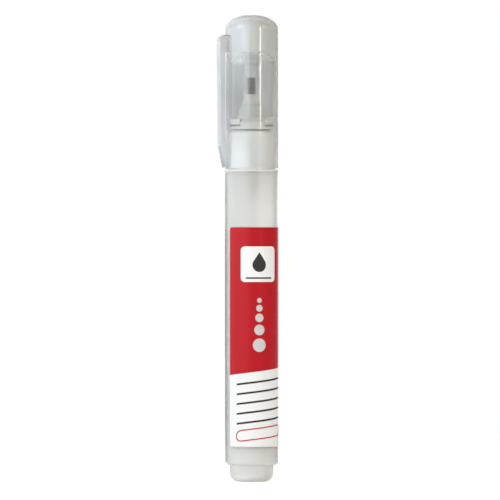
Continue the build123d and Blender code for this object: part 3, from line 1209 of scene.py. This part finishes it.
    def liner(self) -> None:
        """Turned thin dome with a socket under its crown, which lets lamp light pass to what it holds."""
        inside = self.liner_radius - self.liner_wall
        hollow = self.dome_arc(inside, self.liner_top - self.liner_wall, self.liner_dome)[::-1]
        hollow = hollow[hollow[:, 0] > self.socket_radius]
        profile = np.concatenate([
            [(self.liner_mouth - self.liner_wall, self.liner_bottom), (self.liner_mouth, self.liner_bottom)],
            self.dome_arc(self.liner_radius, self.liner_top, self.liner_dome),
            [(self.socket_bore, self.liner_top), (self.socket_bore, self.socket_bottom),
             (self.socket_radius, self.socket_bottom), (self.socket_radius, hollow[0, 1])], hollow])
        piece = add_piece(lathe("cap_liner", profile), Body.CAP, NATURAL_LINER, "inner_cap")
        piece.visible_shadow = False

    def seal(self) -> None:
        """Turned plug with a pocket that fits the nose of the tip."""
        mesh = lathe("tip_plug", rounded([
            (self.seal_mouth, self.seal_bottom), (self.seal_radius, self.seal_bottom, self.seal_rounding),
            (self.seal_radius, self.liner_top, self.seal_top_rounding), (0, self.liner_top),
            (0, self.pocket_top), (self.pocket, self.pocket_top),
            (self.pocket, self.pocket_neck)]), SMALL_ROUND)
        add_piece(mesh, Body.CAP, SEAL_ELASTOMER, "tip_seal")


@dataclass(frozen=True)
class Softbox:
    """Rectangular studio lamp that faces the pen from a heading, an elevation and a distance.

    It is aimed at a height on the axis, and may be left out of gloss or of what shows through clear plastic.
    Angles are degrees and the size is its width and height.
    """

    name: str
    heading: float
    elevation: float
    distance: float
    size: tuple[float, float]
    watts: float
    tone: str
    aim: float = 70.0
    mirrored: bool = True
    shows_through: bool = True

    def build(self) -> None:
        """Places the lamp and turns it to the pen."""
        data = bpy.data.lights.new(self.name, "AREA")
        data.shape = "RECTANGLE"
        data.size, data.size_y = (side * MM for side in self.size)
        data.energy = self.watts
        data.color = linear(self.tone)[:3]
        lamp = add_object(self.name, data)
        turn, rise = math.radians(self.heading), math.radians(self.elevation)
        away = Vector((math.cos(turn) * math.cos(rise), math.sin(turn) * math.cos(rise), math.sin(rise)))
        lamp.location = Vector((0, 0, self.aim * MM)) + away * self.distance * MM
        lamp.rotation_euler = away.to_track_quat("Z", "Y").to_euler()
        lamp.visible_camera = False
        lamp.visible_glossy = self.mirrored
        lamp.visible_transmission = self.shows_through
        log.info("%s: %.2f W", self.name, self.watts)


@dataclass(frozen=True)
class Card:
    """Upright studio card that faces the pen, and shows only in gloss and through clear plastic. It glows with
    painted light and shade: a lit backdrop with the pen's painted shadow on it.

    Each row is a height and the tones along it, which are set at distances to the right of the card's middle
    as seen from the pen. Tones between them run evenly.
    """

    name: str
    heading: float
    distance: float
    half_width: float
    rows: tuple[tuple[float, tuple[tuple[float, str], ...]], ...]
    mirrored: bool = True
    strength: float = 1.0
    steps: int = 161

    def build(self) -> None:
        """Builds the card as a grid with a tone at each point, which its material glows with."""
        turn = math.radians(self.heading)
        outward = np.array([math.cos(turn), math.sin(turn), 0.0])
        right = np.array([math.sin(turn), -math.cos(turn), 0.0])
        upward = np.array([0.0, 0.0, 1.0])
        heights = [height for height, _ in self.rows]
        across, up = np.meshgrid(np.linspace(-self.half_width, self.half_width, self.steps),
                                 np.linspace(heights[0], heights[-1], self.steps))
        points = across[..., None] * right + up[..., None] * upward + self.distance * outward
        mesh = sheet_mesh(self.name, points)
        field = mesh.attributes.new("tone", "FLOAT_COLOR", "POINT")
        field.data.foreach_set("color", self.tones(across, up).ravel().astype(np.float32))
        mesh.materials.append(self.paper())
        piece = add_object(self.name, mesh)
        piece.visible_camera = piece.visible_diffuse = piece.visible_shadow = False
        piece.visible_glossy = self.mirrored

    def tones(self, across: Grid, up: Grid) -> Grid:
        """Linear colour at each point, from the tones of the row below it and the row above it.

        Args:
            across: Distance of each point to the right of the middle.
            up: Height of each point.

        Returns:
            Red, green, blue and alpha of each point.
        """
        graded = []
        for _, stops in self.rows:
            places = [place for place, _ in stops]
            colours = np.array([linear(tone) for _, tone in stops])
            graded.append(np.stack([np.interp(across[0], places, part) for part in colours.T], axis=-1))
        rows = np.stack(graded)
        level = np.interp(up[:, 0], [height for height, _ in self.rows], np.arange(len(rows)))
        below = np.minimum(level.astype(int), len(rows) - 2)
        share = (level - below)[:, None, None]
        return self.strength * ((1 - share) * rows[below] + share * rows[below + 1])

    @staticmethod
    def paper() -> bpy.types.Material:
        """Material that glows with the painted light and shade of each point, built on first use.

        Returns:
            The material.
        """
        name = "painted_light_and_shade_card"
        if name in bpy.data.materials:
            return bpy.data.materials[name]
        material = bpy.data.materials.new(name)
        tree = empty_tree(material)
        shown = add_node(tree, "ShaderNodeAttribute", attribute_name="tone")
        glow = add_node(tree, "ShaderNodeEmission", {"Color": shown.outputs["Color"]})
        add_node(tree, "ShaderNodeOutputMaterial", {"Surface": glow.outputs[0]})
        return material


def smooth_step(tree: bpy.types.NodeTree, value: bpy.types.NodeSocket,
                span: tuple[float, float]) -> bpy.types.NodeSocket:
    """Smooth step of a value.

    Args:
        tree: Node tree that gets the node.
        value: Socket of the value.
        span: Values at which the step starts and ends.

    Returns:
        Socket that goes from nought to one over the span.
    """
    step = add_node(tree, "ShaderNodeMapRange", {"Value": value, "From Min": span[0], "From Max": span[1]},
                    interpolation_type="SMOOTHSTEP")
    return step.outputs[0]


def seen_rays(tree: bpy.types.NodeTree) -> bpy.types.NodeSocket:
    """Which rays show the backdrop, straight or in gloss and clear plastic.

    Args:
        tree: Node tree that gets the nodes.

    Returns:
        Socket that is one for these rays and nought for the rest.
    """
    rays = add_node(tree, "ShaderNodeLightPath").outputs
    seen = rays["Is Camera Ray"]
    for kind in ("Is Glossy Ray", "Is Transmission Ray"):
        seen = add_node(tree, "ShaderNodeMath", {0: seen, 1: rays[kind]}, operation="MAXIMUM").outputs[0]
    return seen


@dataclass(frozen=True)
class Room:
    """What one kind of ray sees of the room: its tones on the right and on the left.

    The span is the share of a direction that points left, from the end of the right tone to the start of the
    left one.
    """

    right: str
    left: str
    span: tuple[float, float]


@dataclass(frozen=True)
class Studio:
    """Pale floor, white backdrop, soft lamps, graded cards and the camera of the photograph."""

    camera_azimuth: float = -14.0
    camera_height: float = 65.4
    camera_distance: float = 2000.0
    camera_left: float = 0.48
    camera_reach: tuple[float, float] = (50.0, 20000.0)
    view_width: float = 141.25
    sensor: float = 36.0
    card_distance: float = 60.0
    card_half_width: float = 80.0
    ambient: float = 0.42
    zenith: float = 1.5
    gloss_room: Room = Room("7d7970", "fbfdff", (-0.1, 0.5))
    clear_room: Room = Room("dad3c5", "f2fbff", (-0.5, 0.9))
    left_gloss: float = 0.3
    left_span: tuple[float, float] = (0.1, 0.6)
    eye_level: float = 0.62
    high_level: float = 1.15
    rise_span: tuple[float, float] = (0.1, 0.4)
    far_tone: str = "eceded"
    far_span: tuple[float, float] = (0.93, 0.985)
    floor_radius: float = 1200.0
    floor_tone: str = "f0f0ee"
    floor_glow: float = 0.5
    floor_fade: tuple[float, float] = (150.0, 500.0)
    clear_bounces: int = 40
    matt_bounces: int = 8

    def build(self) -> None:
        """Builds the whole stage."""
        bpy.context.scene.view_settings.view_transform = "Standard"
        cycles = bpy.context.scene.cycles
        cycles.max_bounces = cycles.transmission_bounces = cycles.glossy_bounces = self.clear_bounces
        cycles.diffuse_bounces = self.matt_bounces
        for item in (*self.lamps(), *self.cards()):
            item.build()
        self.backdrop()
        self.floor()
        self.camera()

    def lamps(self) -> tuple[Softbox, ...]:
        """Lamps round the pen, placed by their headings from the camera's.

        Returns:
            Cool key light on the left, warm fill on the right, light from the front and the back, and long
            panels and a strip that show as bright lines in the gloss.
        """
        facing = 270 + self.camera_azimuth
        return (
            Softbox("key_softbox", heading=facing - 50, elevation=30, distance=900, size=(600, 600),
                    watts=2.7, tone="f4f8ff"),
            Softbox("fill_softbox", heading=facing + 55, elevation=25, distance=900, size=(500, 500),
                    watts=1.2, tone="fff5e8"),
            Softbox("front_softbox", heading=facing, elevation=25, distance=1500, size=(1200, 1200),
                    watts=2.75, tone="fffbf4", mirrored=False),
            Softbox("upper_panel", heading=facing - 68, elevation=0, distance=600, size=(1920, 90),
                    watts=0.9, tone="eef4ff", aim=185.0, shows_through=False),
            Softbox("lower_panel", heading=facing - 68, elevation=0, distance=600, size=(1920, 50),
                    watts=0.5, tone="eef4ff", aim=84.0, shows_through=False),
            Softbox("back_softbox", heading=facing + 180, elevation=30, distance=1200, size=(900, 900),
                    watts=3.0, tone="fffaf4", mirrored=False, shows_through=False),
            Softbox("strip_lamp", heading=facing + 38.6, elevation=0, distance=500, size=(50, 160),
                    watts=0.18, tone="fffaf0", aim=193.0))

    def cards(self) -> tuple[Card, ...]:
        """Graded cards behind the pen, which glow with the painted light and shade that clear and frosted
        plastic show through them.

        Returns:
            One behind the barrel, painted dark at its limbs and its foot, and one behind the cap, from cool to
            warm, with the pen's painted shadow darker behind the liner.
        """
        # Behind the barrel: painted shade at the limbs and the foot, white where light comes through.
        foot = ((-80.0, "4c4c4c"), (0.0, "7c7c78"), (80.0, "4c4c4c"))
        tail = ((-27.0, "3f3f3e"), (-19.0, "dcdcd8"), (24.0, "ffffff"), (36.0, "6b6b69"))
        barrel = ((-27.0, "3f3f3e"), (-18.0, "7c7d7b"), (0.0, "70716d"), (8.0, "ffffff"), (44.0, "ffffff"),
                  (52.0, "7a7a77"))
        # Behind the cap: bright and cool on the left, painted shadow in warm grey on the right, darkest behind
        # the liner.
        collar = ((-12.0, "f8fbff"), (12.0, "d2d0c8"))
        # Painted shadow of the nozzle and liner on the backdrop.
        liner = ((-20.0, "a0a4a5"), (-9.0, "949798"), (-3.0, "868989"), (2.0, "b4b4b1"), (20.0, "c6c5c0"),
                 (80.0, "bab8b2"))
        crown = ((-80.0, "d8dee2"), (-30.0, "d8e0e6"), (-12.0, "d0dae2"), (-1.5, "d4dadc"), (1.5, "dcd8cc"),
                 (4.0, "b6b5ac"))
        behind = 90 + self.camera_azimuth
        return (
            Card("painted_shade_card_behind_barrel", behind, self.card_distance, self.card_half_width, (
                (0.3, foot), (4.2, foot), (5.5, tail), (12.0, tail), (16.0, barrel), (88.1, barrel)),
                strength=1.7),
            Card("painted_shade_card_behind_cap", behind, self.card_distance, self.card_half_width, (
                (88.2, collar), (99.0, collar), (101.0, liner), (118.0, liner), (123.0, crown),
                (168.0, crown)), mirrored=False))

    def backdrop(self) -> None:
        """White to the camera, a room in gloss and through clear plastic, and even light elsewhere.

        The room's tone goes from warm to cool with the share of a ray's direction that points left, and to
        one pale tone straight behind the pen. In gloss it is brighter above and on the left. Through clear
        plastic it is greyer at eye level than above.
        """
        world = bpy.data.worlds.new("studio")
        bpy.context.scene.world = world
        tree = empty_tree(world)
        turn = math.radians(self.camera_azimuth)
        aim = add_node(tree, "ShaderNodeTexCoord").outputs["Generated"]
        rise = add_node(tree, "ShaderNodeSeparateXYZ", {0: aim}).outputs["Z"]
        left, behind = (
            add_node(tree, "ShaderNodeVectorMath", {0: aim, 1: way}, operation="DOT_PRODUCT").outputs["Value"]
            for way in ((-math.cos(turn), -math.sin(turn), 0.0), (-math.sin(turn), math.cos(turn), 0.0)))
        far = smooth_step(tree, behind, self.far_span)
        above = add_node(tree, "ShaderNodeMapRange", {"Value": rise, "To Min": 1.0, "To Max": self.zenith})
        gloss = add_node(tree, "ShaderNodeMath", {
            0: smooth_step(tree, left, self.left_span), 1: self.left_gloss, 2: above.outputs[0]},
            operation="MULTIPLY_ADD")
        clear = add_node(tree, "ShaderNodeMapRange", {
            "Value": rise, "From Min": self.rise_span[0], "From Max": self.rise_span[1],
            "To Min": self.eye_level, "To Max": self.high_level}, interpolation_type="SMOOTHSTEP")
        sights = []
        for room, level in ((self.gloss_room, gloss), (self.clear_room, clear)):
            side = smooth_step(tree, left, room.span)
            tone = add_node(tree, "ShaderNodeMix", {
                0: side, 6: linear(room.right), 7: linear(room.left)}, data_type="RGBA")
            tone = add_node(tree, "ShaderNodeMix", {
                0: far, 6: tone.outputs[2], 7: linear(self.far_tone)}, data_type="RGBA")
            sights.append(add_node(tree, "ShaderNodeBackground", {
                "Color": tone.outputs[2], "Strength": level.outputs[0]}))
        lit, white = (
            add_node(tree, "ShaderNodeBackground", {"Color": linear("ffffff"), "Strength": strength})
            for strength in (self.ambient, 1.0))
        rays = add_node(tree, "ShaderNodeLightPath").outputs
        kinds = ("Is Glossy Ray", "Is Transmission Ray", "Is Camera Ray")
        for kind, sight in zip(kinds, (*sights, white)):
            lit = add_node(tree, "ShaderNodeMixShader", {
                0: rays[kind], 1: lit.outputs[0], 2: sight.outputs[0]})
        add_node(tree, "ShaderNodeOutputWorld", {"Surface": lit.outputs[0]})

    def floor(self) -> None:
        """Pale round floor that keeps the shadow of the pen and meets the backdrop in white."""
        heading = np.arange(SMALL_ROUND) * TURN / SMALL_ROUND
        rim = np.stack([np.cos(heading), np.sin(heading), np.zeros(SMALL_ROUND)], axis=1)
        mesh = bpy.data.meshes.new("floor")
        mesh.from_pydata((rim * self.floor_radius * MM).tolist(), [], [list(range(SMALL_ROUND))])
        material = bpy.data.materials.new("matt_paper_sweep")
        tree = empty_tree(material)
        seen = seen_rays(tree)
        paper = add_node(tree, "ShaderNodeBsdfDiffuse", {"Color": linear(self.floor_tone)})
        share = add_node(tree, "ShaderNodeMath", {0: seen, 1: self.floor_glow}, operation="MULTIPLY")
        glow = add_node(tree, "ShaderNodeEmission", {"Color": linear("ffffff"), "Strength": share.outputs[0]})
        both = add_node(tree, "ShaderNodeAddShader", {0: paper.outputs[0], 1: glow.outputs[0]})
        place = add_node(tree, "ShaderNodeTexCoord").outputs["Object"]
        reach = add_node(tree, "ShaderNodeVectorMath", {0: place}, operation="LENGTH").outputs["Value"]
        near, far = self.floor_fade
        fade = add_node(tree, "ShaderNodeMath", {
            0: smooth_step(tree, reach, (near * MM, far * MM)), 1: seen}, operation="MULTIPLY")
        white = add_node(tree, "ShaderNodeEmission", {"Color": linear("ffffff"), "Strength": 1.0})
        ground = add_node(tree, "ShaderNodeMixShader", {
            0: fade.outputs[0], 1: both.outputs[0], 2: white.outputs[0]})
        add_node(tree, "ShaderNodeOutputMaterial", {"Surface": ground.outputs[0]})
        mesh.materials.append(material)
        piece = add_object("floor", mesh)

    def camera(self) -> None:
        """Long lens level with the middle of the frame, a little to the left of the axis."""
        turn = math.radians(self.camera_azimuth)
        back = Vector((math.sin(turn), -math.cos(turn), 0))
        right = Vector((math.cos(turn), math.sin(turn), 0))
        data = bpy.data.cameras.new("camera")
        data.sensor_width = self.sensor
        data.lens = self.sensor * self.camera_distance / self.view_width
        data.clip_start, data.clip_end = (distance * MM for distance in self.camera_reach)
        camera = add_object("camera", data)
        camera.location = (back * self.camera_distance - right * self.camera_left
                           + Vector((0, 0, self.camera_height))) * MM
        camera.rotation_euler = back.to_track_quat("Z", "Y").to_euler()
        bpy.context.scene.camera = camera


def main() -> None:
    """Builds the pen and its studio."""
    logging.basicConfig(level=logging.INFO, format="%(name)s: %(message)s")
    Barrel().build()
    Label().build()
    Head().build()
    Cap().build()
    Studio().build()


if __name__ == "__main__":
    main()
